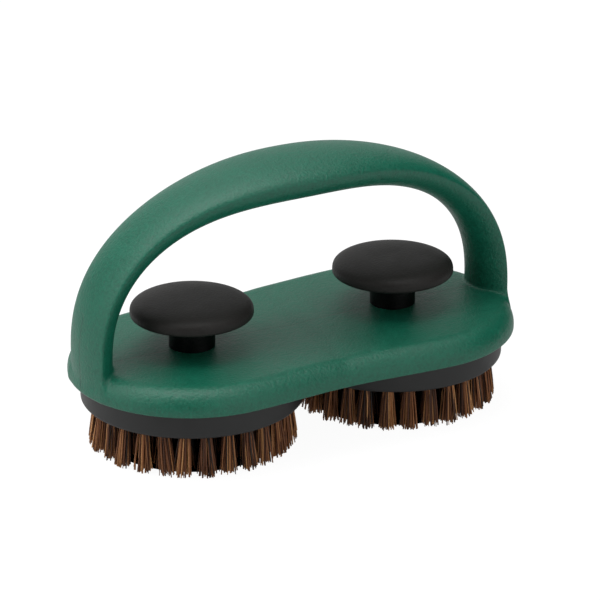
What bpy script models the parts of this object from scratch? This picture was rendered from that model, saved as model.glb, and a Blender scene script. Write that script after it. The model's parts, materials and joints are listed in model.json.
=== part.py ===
"""A two-headed grill brush: a green deck with an arch handle over it, and two round
brush heads under it, each held by the stud of a mushroom knob.

Metres, +Z up. X runs along the brush, the knob axes stand at Y = 0, and the bristles
are cut flat on Z = 0, with the origin under the middle of the deck.
"""
import math

import bmesh
import bpy
import numpy as np
from mathutils import Matrix, Vector

MM = 0.001

# Brush heads
BLOCK_RADIUS = 45.0 * MM
HEAD_GAP = 3.0 * MM
BLOCK_HEIGHT = 14.0 * MM
BLOCK_EDGE_RADIUS = 1.6 * MM
BRISTLE_LENGTH = 18.8 * MM
PEG_RADIUS = 3.0 * MM
PEG_CIRCLE_RADIUS = 25.0 * MM
PEG_EDGE = 0.6 * MM

# Tufts, set in rings in slices of the block's lower face, inside the block's own rim
BLOCK_RIM_WIDTH = 3.0 * MM
SLICE_THICKNESS = 2.0 * MM
TUFT_PITCH = 7.4 * MM
TUFT_ROOT_RADIUS = 1.75 * MM
STRAND_ROOT_RADIUS = 0.85 * MM
STRAND_TIP_RADIUS = 1.35 * MM
FLOOR_CUT = 0.5 * MM
SPLAY_SHARE = 1.075
TUFT_START_SHARE = 0.37
RINGS_PER_STRAND = 2

# Gap that is left between two pieces that touch
TOUCH_GAP = 0.3 * MM

# Clamping screw: the stud in the knob and the insert in the block
STUD_RADIUS = 4.0 * MM
STUD_HEAD_RADIUS = 6.2 * MM
STUD_HEAD_HEIGHT = 3.5 * MM
STUD_IN_KNOB = 13.0 * MM
STUD_CHAMFER = 0.8 * MM
STUD_ENGAGEMENT = 8.75 * MM
INSERT_WALL = 2.4 * MM
INSERT_HEIGHT = 9.5 * MM
INSERT_GROOVE = 0.7 * MM
INSERT_GROOVE_HEIGHT = 1.8 * MM

# Deck, an open-bottomed shell
DECK_HEIGHT = 10.8 * MM
DECK_WALL = 3.0 * MM
DECK_EDGE_RADIUS = 8.5 * MM
DECK_RIM_FLAT = 1.5 * MM
DECK_WAIST_DEPTH = 2.5 * MM
SKIRT_CLEARANCE = 2.0 * MM
SKIRT_OVERLAP = 4.0 * MM
RIB_THICKNESS = 2.0 * MM
HUB_RADIUS = 11.5 * MM
STUD_HOLE_CLEARANCE = 0.5 * MM
SEAT_RING_INSET = 8.0 * MM
SOCKET_WALL = 2.2 * MM

# Arch handle, one moulding with the deck
ARCH_RISE = 62.4 * MM
GRIP_HALF_WIDTH = 20.5 * MM
GRIP_HALF_THICKNESS = 8.4 * MM
FOOT_HALF_WIDTH = 14.2 * MM
FOOT_HALF_THICKNESS = 6.3 * MM
FOOT_STRAIGHT = 2.8 * MM
FOOT_PROUD = 0.1 * MM
FOOT_DRAW_IN = 0.6 * MM
ARCH_EXPONENT = 2.38
GROWTH_EXPONENT = 5.5
FOOT_LEAN_SHARE = 0.36
GRIP_LEAN_SHARE = 0.2
FOOT_BACK_EXPONENT = 0.85
GRIP_BACK_EXPONENT = 0.52
INSIDE_EXPONENT = 2.3

# Mushroom knobs
KNOB_RADIUS = 24.8 * MM
KNOB_HEIGHT = 20.7 * MM
KNOB_RIM_HEIGHT = 14.0 * MM
KNOB_UNDERSIDE_HEIGHT = 11.8 * MM
KNOB_STEM_RADIUS = 9.3 * MM
KNOB_STEM_FILLET = 2.5 * MM
KNOB_LIP_WIDTH = 7.0 * MM
KNOB_CROWN_EXPONENT = 2.7

# Faceting
TURN_STEPS = 32
SMALL_TURN_STEPS = 16
CENTRE_SLICE_STEPS = 12
STEPS_PER_RING = 5
END_ARC_STEPS = 22
WAIST_STEPS = 10
EDGE_STEPS = 4
ARCH_STEPS = 38
ARCH_SAMPLES = 760
SECTION_STEPS = 20
STRAND_SIDES = 3
CUT_OVERRUN = 5.0 * MM
WELD_DISTANCE = 0.01 * MM

# Heights and radii that follow from the sizes above
HEAD_SPACING = 2 * BLOCK_RADIUS + HEAD_GAP
AXIS_X = HEAD_SPACING / 2
BLOCK_TOP = BRISTLE_LENGTH + BLOCK_HEIGHT
SEAT_Z = BLOCK_TOP + TOUCH_GAP
RIM_Z = BLOCK_TOP - SKIRT_OVERLAP
DECK_TOP = RIM_Z + DECK_HEIGHT
CEILING_Z = DECK_TOP - DECK_WALL
MID_WALL = DECK_WALL / 2
DECK_END_RADIUS = BLOCK_RADIUS + SKIRT_CLEARANCE + DECK_WALL
ARCH_HALF_SPAN = AXIS_X + DECK_END_RADIUS + FOOT_PROUD - FOOT_HALF_THICKNESS
ARCH_BASE = DECK_TOP + FOOT_STRAIGHT
KNOB_BASE = DECK_TOP + TOUCH_GAP
STUD_TOP = KNOB_BASE + STUD_IN_KNOB
STUD_TIP = BLOCK_TOP - STUD_ENGAGEMENT
INSERT_BORE_RADIUS = STUD_RADIUS + TOUCH_GAP
INSERT_RADIUS = INSERT_BORE_RADIUS + INSERT_WALL
SLICE_TOP = BRISTLE_LENGTH + SLICE_THICKNESS
RING_NAMES = ["centre", "fourth", "third", "second", "outer"]
SLICES_RADIUS = BLOCK_RADIUS - BLOCK_RIM_WIDTH
RING_PITCH = SLICES_RADIUS / len(RING_NAMES)
SEAT_RING_RADIUS = BLOCK_RADIUS - SEAT_RING_INSET
SIDES = {"left": -1, "right": 1}


def clear_scene():
    """Start from an empty scene."""
    for item in list(bpy.data.objects):
        bpy.data.objects.remove(item, do_unlink=True)


def make_collection(name):
    collection = bpy.data.collections.new(name)
    bpy.context.scene.collection.children.link(collection)
    return collection


def make_material(name, colour, roughness, metallic=0.0):
    """A Principled material with one colour, roughness and metallic value."""
    material = bpy.data.materials.new(name)
    material.use_nodes = True
    shader = material.node_tree.nodes["Principled BSDF"]
    shader.inputs["Base Color"].default_value = (*colour, 1.0)
    shader.inputs["Roughness"].default_value = roughness
    shader.inputs["Metallic"].default_value = metallic
    return material


def add_object(name, mesh, collection, parent=None):
    """Link a mesh as an object that stands in its parent's frame."""
    item = bpy.data.objects.new(name, mesh)
    collection.objects.link(item)
    item.parent = parent
    return item


def as_guide(item):
    """Mark a cutter or a shape that only feeds another object's modifiers."""
    item.hide_render = True
    item.display_type = "WIRE"
    return item


def finish(item, material):
    """Give a piece its material and smooth shading that breaks at its edges."""
    item.data.materials.clear()
    item.data.materials.append(material)
    item.data.shade_smooth()
    item.data.set_sharp_from_angle(angle=math.radians(35))


def mesh_from(name, points, faces=(), edges=()):
    mesh = bpy.data.meshes.new(name)
    mesh.from_pydata([tuple(point) for point in points], list(edges), list(faces))
    mesh.update()
    return mesh


def turned(name, profile, collection, parent=None, steps=TURN_STEPS, closed=False):
    """Turn a profile of (radius, height) points about Z with a Screw modifier.

    The points run down the outer side. An open profile starts and ends on the axis,
    and a closed one makes a ring.
    """
    points = [(radius, 0.0, height) for radius, height in profile]
    edges = [(index, index + 1) for index in range(len(points) - 1)]
    if closed:
        edges.append((len(points) - 1, 0))
    item = add_object(name, mesh_from(name, points, edges=edges), collection, parent)
    screw = item.modifiers.new("turn", "SCREW")
    screw.steps = steps
    screw.render_steps = steps
    screw.use_merge_vertices = True
    screw.merge_threshold = WELD_DISTANCE
    screw.use_normal_calculate = False
    return item


def cylinder(name, radius, low, high, collection, centre=(0.0, 0.0), steps=SMALL_TURN_STEPS):
    """A plain cylinder from the height low to the height high."""
    cells = bmesh.new()
    placed = Matrix.Translation((centre[0], centre[1], (low + high) / 2))
    bmesh.ops.create_cone(cells, cap_ends=True, segments=steps, radius1=radius, radius2=radius,
                          depth=high - low, matrix=placed)
    mesh = bpy.data.meshes.new(name)
    cells.to_mesh(mesh)
    cells.free()
    return add_object(name, mesh, collection)


def bar(name, length, thickness, low, high, collection, centre=(0.0, 0.0), angle=0.0):
    """An upright rib: a box that is turned about Z."""
    cells = bmesh.new()
    size = Matrix.Diagonal((length, thickness, high - low, 1.0))
    placed = Matrix.Translation((centre[0], centre[1], (low + high) / 2))
    bmesh.ops.create_cube(cells, size=1.0, matrix=placed @ Matrix.Rotation(angle, 4, "Z") @ size)
    mesh = bpy.data.meshes.new(name)
    cells.to_mesh(mesh)
    cells.free()
    return add_object(name, mesh, collection)


def boolean(item, operation, other):
    """Add a Boolean modifier with an object or a whole collection."""
    modifier = item.modifiers.new(operation.lower(), "BOOLEAN")
    modifier.operation = operation
    modifier.solver = "EXACT"
    if isinstance(other, bpy.types.Collection):
        modifier.operand_type = "COLLECTION"
        modifier.collection = other
    else:
        modifier.object = other


def arc(centre, radius, start, end, steps):
    """Points on a circle in a profile, from one angle to another in degrees."""
    angles = np.radians(np.linspace(start, end, steps + 1))
    return [(centre[0] + radius * math.cos(a), centre[1] + radius * math.sin(a)) for a in angles]


def deck_outline(inset):
    """The deck's outline, drawn in by inset: a half circle round each knob axis, and
    between them a waist that narrows as a cosine wave."""
    radius = DECK_END_RADIUS - inset
    angles = np.linspace(-math.pi / 2, math.pi / 2, END_ARC_STEPS + 1)
    end = np.column_stack([AXIS_X + radius * np.cos(angles), radius * np.sin(angles)])
    along = np.linspace(AXIS_X, -AXIS_X, WAIST_STEPS + 1)[1:-1]
    narrowing = DECK_WAIST_DEPTH * (1 + np.cos(math.pi * along / AXIS_X)) / 2
    waist = np.column_stack([along, radius - narrowing])
    return np.vstack([end, waist, -end, -waist])


def deck_form(name, inset, collection, is_open):
    """The deck's outer form, drawn in by inset: the outline carried down from the top face,
    with its top edge rounded. The open one has no lower face."""
    cells = bmesh.new()
    weights = cells.edges.layers.float.new("bevel_weight_edge")
    top = [cells.verts.new((x, y, DECK_TOP - inset)) for x, y in deck_outline(inset)]
    face = cells.faces.new(top)
    for edge in face.edges:
        edge[weights] = 1.0
    made = bmesh.ops.extrude_edge_only(cells, edges=list(face.edges))["geom"]
    for vertex in made:
        if isinstance(vertex, bmesh.types.BMVert):
            vertex.co.z = RIM_Z if is_open else RIM_Z - CUT_OVERRUN
    rim = [edge for edge in made if isinstance(edge, bmesh.types.BMEdge) and edge.is_boundary]
    for edge in rim:
        edge[weights] = 0.0
    if not is_open:
        bmesh.ops.contextual_create(cells, geom=rim)
    bmesh.ops.recalc_face_normals(cells, faces=cells.faces)
    mesh = bpy.data.meshes.new(name)
    cells.to_mesh(mesh)
    cells.free()
    item = add_object(name, mesh, collection)
    bevel = item.modifiers.new("top edge", "BEVEL")
    bevel.limit_method = "WEIGHT"
    bevel.width = min(DECK_EDGE_RADIUS, DECK_HEIGHT - DECK_RIM_FLAT) - inset
    bevel.segments = EDGE_STEPS
    bevel.use_clamp_overlap = False
    return item


def arch_line():
    """Points of the handle's centre line at even steps, foot to foot, and the share of
    the way from the nearer foot to the crown at each.

    It is a superellipse: |x / half span| to the exponent plus the same of height is 1.
    """
    angle = np.linspace(0.0, math.pi, ARCH_SAMPLES + 1)
    power = 2 / ARCH_EXPONENT
    x = ARCH_HALF_SPAN * np.sign(np.cos(angle)) * np.abs(np.cos(angle)) ** power
    z = ARCH_BASE + ARCH_RISE * np.abs(np.sin(angle)) ** power
    length = np.concatenate([[0.0], np.cumsum(np.hypot(np.diff(x), np.diff(z)))])
    even = np.linspace(0.0, length[-1], ARCH_STEPS + 1)
    share = 1 - np.abs(2 * even / length[-1] - 1)
    return np.interp(even, length, x), np.interp(even, length, z), share


def arch_section(share):
    """Section of the handle at a share of the way up, as (across, outward) points.

    The broad back is a shallow arc that meets the rounder inside at a ridge near the
    feet, and both grow into a soft oval at the grip.
    """
    grown = math.sin(share * math.pi / 2) ** GROWTH_EXPONENT
    width = FOOT_HALF_WIDTH + (GRIP_HALF_WIDTH - FOOT_HALF_WIDTH) * grown
    thickness = FOOT_HALF_THICKNESS + (GRIP_HALF_THICKNESS - FOOT_HALF_THICKNESS) * grown
    lean = FOOT_LEAN_SHARE + (GRIP_LEAN_SHARE - FOOT_LEAN_SHARE) * grown
    soft = math.sin(share * math.pi / 2)
    back_exponent = FOOT_BACK_EXPONENT + (GRIP_BACK_EXPONENT - FOOT_BACK_EXPONENT) * soft
    angle = np.linspace(0.0, 2 * math.pi, SECTION_STEPS, endpoint=False)
    across = np.cos(angle)
    back = (1 - lean) * np.maximum(1 - across ** 2, 0.0) ** back_exponent
    inside = -(1 + lean) * np.maximum(1 - np.abs(across) ** INSIDE_EXPONENT, 0.0) ** 0.5
    outward = np.where(np.sin(angle) >= 0, back, inside) + lean
    return width * across, thickness * outward


def arch_mesh():
    """Loft the sections along the centre line and straight down into the deck's wall."""
    x, z, share = arch_line()
    run_x = np.gradient(x)
    run_z = np.gradient(z)
    run_x[[0, -1]] = 0.0
    step = np.hypot(run_x, run_z)
    normal_x = run_z / step
    normal_z = -run_x / step
    foot_z = np.array([DECK_TOP - DECK_EDGE_RADIUS, DECK_TOP])
    foot_x = ARCH_HALF_SPAN - FOOT_DRAW_IN * (DECK_TOP - foot_z) / DECK_EDGE_RADIUS
    x = np.concatenate([foot_x, x, -foot_x[::-1]])
    z = np.concatenate([foot_z, z, foot_z[::-1]])
    share = np.concatenate([[0.0, 0.0], share, [0.0, 0.0]])
    normal_x = np.concatenate([[1.0, 1.0], normal_x, [-1.0, -1.0]])
    normal_z = np.concatenate([[0.0, 0.0], normal_z, [0.0, 0.0]])
    rings = []
    for index in range(len(x)):
        across, outward = arch_section(share[index])
        ring_x = x[index] + normal_x[index] * outward
        ring_z = z[index] + normal_z[index] * outward
        rings.append(np.column_stack([ring_x, across, ring_z]))
    count = SECTION_STEPS
    faces = [tuple(range(count))]
    for ring in range(len(rings) - 1):
        for index in range(count):
            after = (index + 1) % count
            low, high = ring * count, (ring + 1) * count
            faces.append((low + index, high + index, high + after, low + after))
    last = (len(rings) - 1) * count
    faces.append(tuple(last + index for index in reversed(range(count))))
    mesh = mesh_from("arch", np.vstack(rings), faces)
    cells = bmesh.new()
    cells.from_mesh(mesh)
    bmesh.ops.recalc_face_normals(cells, faces=cells.faces)
    cells.to_mesh(mesh)
    cells.free()
    return mesh


def make_rib_frame(deck_core, guides):
    """Ribs under the deck: one along it, one across its waist and two slanting ones
    through each hub, all ended inside the deck's wall."""
    reach = 2 * (AXIS_X + DECK_END_RADIUS)
    levels = (SEAT_Z, DECK_TOP, guides)
    frame = as_guide(bar("rib_along", reach, RIB_THICKNESS, *levels))
    ribs = make_collection("ribs")
    as_guide(bar("rib_across", reach, RIB_THICKNESS, SEAT_Z, DECK_TOP, ribs, angle=math.pi / 2))
    for side, sign in SIDES.items():
        for turn in (1, 2):
            name = f"rib_{side}_{turn}"
            rib_length = 2 * (DECK_END_RADIUS + SKIRT_OVERLAP + DECK_WALL)
            as_guide(bar(name, rib_length, RIB_THICKNESS, SEAT_Z, DECK_TOP, ribs,
                         centre=(sign * AXIS_X, 0.0), angle=turn * math.pi / 3))
    boolean(frame, "UNION", ribs)
    boolean(frame, "INTERSECT", deck_core)
    return frame


def make_body(collection, guides, material):
    """Deck and handle, one moulding: shell, ribs, hubs, seat rings, peg sockets and arch."""
    body = deck_form("handle_body", 0.0, collection, is_open=True)
    wall = body.modifiers.new("wall", "SOLIDIFY")
    wall.thickness = DECK_WALL
    wall.offset = -1.0
    wall.use_even_offset = True

    deck_core = as_guide(deck_form("deck_core", MID_WALL, guides, is_open=False))
    boolean(body, "UNION", make_rib_frame(deck_core, guides))

    bosses = make_collection("bosses")
    holes = make_collection("holes")
    boss_top = CEILING_Z + MID_WALL
    socket_radius = PEG_RADIUS + TOUCH_GAP
    for side, sign in SIDES.items():
        axis = (sign * AXIS_X, 0.0)
        as_guide(cylinder(f"hub_{side}", HUB_RADIUS, SEAT_Z, boss_top, bosses, axis, TURN_STEPS))
        inner = SEAT_RING_RADIUS - RIB_THICKNESS / 2
        outer = SEAT_RING_RADIUS + RIB_THICKNESS / 2
        band = [(outer, boss_top), (outer, SEAT_Z), (inner, SEAT_Z), (inner, boss_top)]
        ring = as_guide(turned(f"seat_ring_{side}", band, bosses, closed=True))
        ring.location.x = sign * AXIS_X
        as_guide(cylinder(f"stud_hole_{side}", STUD_RADIUS + STUD_HOLE_CLEARANCE,
                          SEAT_Z - CUT_OVERRUN, DECK_TOP + CUT_OVERRUN, holes, axis))
        for place in (-1, 1):
            spot = (sign * AXIS_X, place * PEG_CIRCLE_RADIUS)
            name = f"{side}_{'front' if place < 0 else 'back'}"
            as_guide(cylinder(f"socket_{name}", socket_radius + SOCKET_WALL, SEAT_Z, boss_top,
                              bosses, spot))
            as_guide(cylinder(f"socket_hole_{name}", socket_radius, SEAT_Z - CUT_OVERRUN,
                              CEILING_Z + TOUCH_GAP, holes, spot))
    boolean(body, "UNION", bosses)

    arch = as_guide(add_object("arch", arch_mesh(), guides))
    boolean(arch, "DIFFERENCE", deck_core)
    boolean(body, "UNION", arch)
    boolean(body, "DIFFERENCE", holes)
    finish(body, material)


def knob_profile():
    """Half section of a knob: crown and lip as quarter superellipses, a flat underside,
    a stem, and inside it the seat of the stud and its head."""
    angle = np.linspace(math.pi / 2, 0.0, 8)
    power = 2 / KNOB_CROWN_EXPONENT
    crown = KNOB_HEIGHT - KNOB_RIM_HEIGHT
    radius = KNOB_RADIUS * np.cos(angle) ** power
    height = DECK_TOP + KNOB_RIM_HEIGHT + crown * np.sin(angle) ** power
    radius[0] = 0.0
    points = list(zip(radius, height))
    under = KNOB_RIM_HEIGHT - KNOB_UNDERSIDE_HEIGHT
    for turn in np.linspace(0.0, math.pi / 2, 5)[1:]:
        points.append((KNOB_RADIUS - KNOB_LIP_WIDTH * (1 - math.cos(turn) ** power),
                       DECK_TOP + KNOB_RIM_HEIGHT - under * math.sin(turn) ** power))
    fillet = (KNOB_STEM_RADIUS + KNOB_STEM_FILLET,
              DECK_TOP + KNOB_UNDERSIDE_HEIGHT - KNOB_STEM_FILLET)
    points += arc(fillet, KNOB_STEM_FILLET, 90, 180, 3)
    points.append((KNOB_STEM_RADIUS, KNOB_BASE))
    shank = STUD_RADIUS + TOUCH_GAP
    head = STUD_HEAD_RADIUS + TOUCH_GAP
    points.append((shank, KNOB_BASE))
    points.append((shank, STUD_TOP - STUD_HEAD_HEIGHT - TOUCH_GAP))
    points.append((head, STUD_TOP - STUD_HEAD_HEIGHT - TOUCH_GAP))
    points.append((head, STUD_TOP + TOUCH_GAP))
    points.append((0.0, STUD_TOP + TOUCH_GAP))
    return points


def stud_profile():
    """Half section of a stud: a head that locks in the knob, and a shank down to its tip."""
    return [(0.0, STUD_TOP), (STUD_HEAD_RADIUS, STUD_TOP),
            (STUD_HEAD_RADIUS, STUD_TOP - STUD_HEAD_HEIGHT),
            (STUD_RADIUS, STUD_TOP - STUD_HEAD_HEIGHT),
            (STUD_RADIUS, STUD_TIP + STUD_CHAMFER),
            (STUD_RADIUS - STUD_CHAMFER, STUD_TIP), (0.0, STUD_TIP)]


def insert_profile():
    """Half section of an insert: a bushing with a groove that keys it in the block."""
    low = BLOCK_TOP - INSERT_HEIGHT
    middle = BLOCK_TOP - INSERT_HEIGHT / 2
    waist = INSERT_RADIUS - INSERT_GROOVE
    return [(INSERT_RADIUS, BLOCK_TOP), (INSERT_RADIUS, middle + INSERT_GROOVE_HEIGHT / 2),
            (waist, middle + INSERT_GROOVE_HEIGHT / 2), (waist, middle - INSERT_GROOVE_HEIGHT / 2),
            (INSERT_RADIUS, middle - INSERT_GROOVE_HEIGHT / 2), (INSERT_RADIUS, low),
            (INSERT_BORE_RADIUS, low), (INSERT_BORE_RADIUS, BLOCK_TOP)]


def block_profile():
    """Half section of a block: pocket for the insert, rounded edges, and a recess below
    for the slices that carry the tufts."""
    pocket = INSERT_RADIUS + TOUCH_GAP
    pocket_floor = BLOCK_TOP - INSERT_HEIGHT - TOUCH_GAP
    edge = BLOCK_EDGE_RADIUS
    recess = SLICES_RADIUS + TOUCH_GAP / 2
    points = [(0.0, pocket_floor), (pocket, pocket_floor), (pocket, BLOCK_TOP)]
    points += arc((BLOCK_RADIUS - edge, BLOCK_TOP - edge), edge, 90, 0, 3)
    points += arc((BLOCK_RADIUS - edge, BRISTLE_LENGTH + edge), edge, 0, -90, 3)
    points += [(recess, BRISTLE_LENGTH), (recess, SLICE_TOP + TOUCH_GAP)]
    points.append((0.0, SLICE_TOP + TOUCH_GAP))
    return points


def make_pegs(side, guides, parent):
    """The two drive pegs that stand on a block and stop it from turning with the knob."""
    pegs = make_collection(f"pegs_{side}")
    top = CEILING_Z - TOUCH_GAP
    profile = [(0.0, top), (PEG_RADIUS - PEG_EDGE, top), (PEG_RADIUS, top - PEG_EDGE),
               (PEG_RADIUS, BLOCK_TOP - BLOCK_EDGE_RADIUS), (0.0, BLOCK_TOP - BLOCK_EDGE_RADIUS)]
    for place in (-1, 1):
        name = f"peg_{side}_{'front' if place < 0 else 'back'}"
        peg = as_guide(turned(name, profile, pegs, parent, steps=SMALL_TURN_STEPS))
        peg.location.y = place * PEG_CIRCLE_RADIUS
    return pegs


def strand_lines(ring_name):
    """Root and tip of every strand of a ring, measured from the head's axis.

    Tufts stand at even angles, and every second ring outward has one strand more in
    each. The strands of a tuft are staggered side by side, and their tips spread over
    the tuft's whole share of the ring, further out than their roots, so that no two
    strands cross.
    """
    ring = RING_NAMES.index(ring_name)
    ring_radius = RING_PITCH * (ring + 0.5)
    tufts = round(2 * math.pi * ring_radius / TUFT_PITCH)
    strands = 1 + ring // RINGS_PER_STRAND
    lines = []
    for tuft in range(tufts):
        for strand in range(strands):
            place = strand - (strands - 1) / 2
            stagger = 0.0 if strands == 1 else (1.0 if strand % 2 else -1.0)
            root_radius = ring_radius + TUFT_ROOT_RADIUS * stagger / 2
            tuft_angle = 2 * math.pi * (tuft + TUFT_START_SHARE) / tufts
            root_angle = tuft_angle + TUFT_ROOT_RADIUS * place / ring_radius
            tip_radius = root_radius * SPLAY_SHARE
            tip_angle = tuft_angle + 2 * math.pi * place / strands / tufts
            lines.append((root_radius, root_angle, tip_radius, tip_angle))
    return lines


def strand_mesh(ring_name):
    """All strands of a ring as closed three-sided rods, thicker towards their tips, that
    start inside the slice and run past the floor."""
    section = bpy.data.curves.new("strand_section", "CURVE")
    outline = section.splines.new("POLY")
    outline.points.add(STRAND_SIDES - 1)
    outline.use_cyclic_u = True
    for index, point in enumerate(outline.points):
        turn = 2 * math.pi * index / STRAND_SIDES
        point.co = (STRAND_TIP_RADIUS * math.cos(turn), STRAND_TIP_RADIUS * math.sin(turn), 0.0, 1.0)
    shape = bpy.data.objects.new("strand_section", section)
    curve = bpy.data.curves.new("strands", "CURVE")
    curve.dimensions = "3D"
    curve.bevel_mode = "OBJECT"
    curve.bevel_object = shape
    curve.use_fill_caps = True
    root_z = BRISTLE_LENGTH + SLICE_THICKNESS / 2
    for root_radius, root_angle, tip_radius, tip_angle in strand_lines(ring_name):
        root = Vector((root_radius * math.cos(root_angle), root_radius * math.sin(root_angle), root_z))
        tip = Vector((tip_radius * math.cos(tip_angle), tip_radius * math.sin(tip_angle), 0.0))
        past = tip + (tip - root) * (FLOOR_CUT / root_z)
        spline = curve.splines.new("POLY")
        spline.points.add(1)
        spline.points[0].co = (*root, 1.0)
        spline.points[1].co = (*past, 1.0)
        spline.points[0].radius = STRAND_ROOT_RADIUS / STRAND_TIP_RADIUS
        spline.points[1].radius = 1.0
    rod = bpy.data.objects.new("strands", curve)
    bpy.context.scene.collection.objects.link(rod)
    depsgraph = bpy.context.evaluated_depsgraph_get()
    mesh = bpy.data.meshes.new_from_object(rod.evaluated_get(depsgraph))
    bpy.data.objects.remove(rod)
    bpy.data.objects.remove(shape)
    cells = bmesh.new()
    cells.from_mesh(mesh)
    bmesh.ops.remove_doubles(cells, verts=cells.verts, dist=WELD_DISTANCE)
    bmesh.ops.recalc_face_normals(cells, faces=cells.faces)
    cells.to_mesh(mesh)
    cells.free()
    return mesh


def make_tuft_ring(ring_name, side, parent, strands, floor_cut, collection, guides, material):
    """One ring of tufts: its slice of the block's face with every strand fused to it,
    cut flat on the floor."""
    ring = RING_NAMES.index(ring_name)
    outer = RING_PITCH * (ring + 1) - TOUCH_GAP / 2
    inner = RING_PITCH * ring + TOUCH_GAP / 2
    top, low = SLICE_TOP, BRISTLE_LENGTH
    name = f"tufts_{ring_name}_{side}"
    if ring:
        profile = [(outer, top), (outer, low), (inner, low), (inner, top)]
    else:
        profile = [(0.0, top), (outer, top), (outer, low), (0.0, low)]
    steps = CENTRE_SLICE_STEPS + STEPS_PER_RING * ring
    piece = turned(name, profile, collection, parent, steps, closed=ring > 0)
    rods = as_guide(add_object(f"strands_{ring_name}_{side}", strands, guides, parent))
    boolean(piece, "UNION", rods)
    boolean(piece, "DIFFERENCE", floor_cut)
    finish(piece, material)


def main():
    clear_scene()
    pieces = make_collection("Grill brush")
    guides = make_collection("Cutters and guides")
    green = make_material("green_plastic", (0.03, 0.16, 0.105), 0.38)
    knob_black = make_material("knob_plastic", (0.045, 0.042, 0.04), 0.5)
    block_black = make_material("block_plastic", (0.05, 0.048, 0.052), 0.42)
    steel = make_material("zinc_steel", (0.62, 0.63, 0.65), 0.3, 1.0)
    brass = make_material("brass", (0.72, 0.55, 0.28), 0.3, 1.0)
    fibre = make_material("palm_fibre", (0.33, 0.19, 0.09), 0.8)

    make_body(pieces, guides, green)

    under_floor = 2 * (FLOOR_CUT + CUT_OVERRUN)
    reach = 2 * HEAD_SPACING + 2 * BLOCK_RADIUS
    floor_cut = as_guide(bar("floor_cut", reach, reach, -under_floor, 0.0, guides))
    ring_strands = {ring_name: strand_mesh(ring_name) for ring_name in RING_NAMES}

    for side, sign in SIDES.items():
        axis = bpy.data.objects.new(f"axis_{side}", None)
        pieces.objects.link(axis)
        axis.location.x = sign * AXIS_X
        finish(turned(f"knob_{side}", knob_profile(), pieces, axis), knob_black)
        finish(turned(f"knob_stud_{side}", stud_profile(), pieces, axis, SMALL_TURN_STEPS), steel)
        block = turned(f"brush_block_{side}", block_profile(), pieces, axis)
        boolean(block, "UNION", make_pegs(side, guides, axis))
        finish(block, block_black)
        insert = turned(f"threaded_insert_{side}", insert_profile(), pieces, axis,
                        SMALL_TURN_STEPS, closed=True)
        finish(insert, brass)
        for ring_name in RING_NAMES:
            make_tuft_ring(ring_name, side, axis, ring_strands[ring_name], floor_cut, pieces,
                           guides, fibre)


main()
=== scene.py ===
# %% [markdown]
# # A two-headed grill brush
#
# The brush is one green moulding, a waisted deck with an arch handle over it, that carries two
# round brush heads. A black mushroom knob clamps each head from above with a threaded stud.
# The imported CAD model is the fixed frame. Each piece below is a surface worked out with numpy,
# in metres, that rides on the CAD body that it belongs to and stands for the CAD node there.

# %% Load the frame
import json
import math

import bmesh
import bpy
import numpy as np
from mathutils import Matrix, Vector


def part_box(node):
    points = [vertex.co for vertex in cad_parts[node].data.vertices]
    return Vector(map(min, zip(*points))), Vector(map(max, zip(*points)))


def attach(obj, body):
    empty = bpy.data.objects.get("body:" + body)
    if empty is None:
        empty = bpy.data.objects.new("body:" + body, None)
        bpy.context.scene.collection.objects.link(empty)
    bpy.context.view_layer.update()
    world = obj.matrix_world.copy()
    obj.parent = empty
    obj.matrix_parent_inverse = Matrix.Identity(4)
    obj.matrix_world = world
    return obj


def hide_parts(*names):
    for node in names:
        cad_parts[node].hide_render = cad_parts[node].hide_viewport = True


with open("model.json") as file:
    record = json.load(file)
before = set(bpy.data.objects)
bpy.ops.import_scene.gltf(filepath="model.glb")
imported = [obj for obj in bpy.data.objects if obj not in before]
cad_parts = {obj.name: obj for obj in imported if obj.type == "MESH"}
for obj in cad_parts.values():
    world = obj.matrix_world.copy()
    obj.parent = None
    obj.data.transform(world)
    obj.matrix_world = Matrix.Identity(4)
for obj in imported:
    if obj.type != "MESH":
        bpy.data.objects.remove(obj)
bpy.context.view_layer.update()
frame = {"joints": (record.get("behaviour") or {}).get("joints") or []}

# %% [markdown]
# The heights and radii that the CAD already fixes are read from its nodes, so that every
# surface lands where the solids are.

# %% Sizes that the frame gives
MM = 0.001
joint_places = {joint["name"]: joint.get("pos_m") for joint in frame["joints"]}
AXIS_X, _, DECK_TOP = joint_places["knob_right_turn"]
body_low, body_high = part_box("handle_body")
block_low, block_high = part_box("brush_block_right")
knob_low, knob_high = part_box("knob_right")
stud_low, stud_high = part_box("knob_stud_right")
insert_low, insert_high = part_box("threaded_insert_right")
RIM_LIFT = 0.4 * MM
RIM_Z = body_low.z + RIM_LIFT
DECK_END_RADIUS = body_high.y
BRISTLE_LENGTH = block_low.z
BLOCK_RADIUS = block_high.y
BLOCK_TOP = insert_high.z
KNOB_RADIUS = knob_high.y
TOUCH_GAP = knob_low.z - DECK_TOP
SIDES = {"left": -1, "right": 1}
print("knob axes at", round(AXIS_X / MM, 2), "mm, deck top at", round(DECK_TOP / MM, 2), "mm")

# %% [markdown]
# The photograph was taken from the front and left, a little above the deck, with a long lens.
# The angles, the distance and the focal length were fitted to the ellipses of the knobs and
# blocks and to the outline of the handle.

# %% Camera
CAMERA_AZIMUTH = math.radians(-29.42)
CAMERA_ELEVATION = math.radians(22.16)
CAMERA_DISTANCE = 1600.1 * MM
CAMERA_SHIFT_RIGHT = 2.62 * MM
CAMERA_SHIFT_UP = 50.88 * MM
CAMERA_FLOOR = 5.3 * MM
FOCAL_LENGTH_PIXELS = 3909.7
PHOTO_PIXELS = 600
CLIP_START, CLIP_END = 0.1, 20.0


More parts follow.
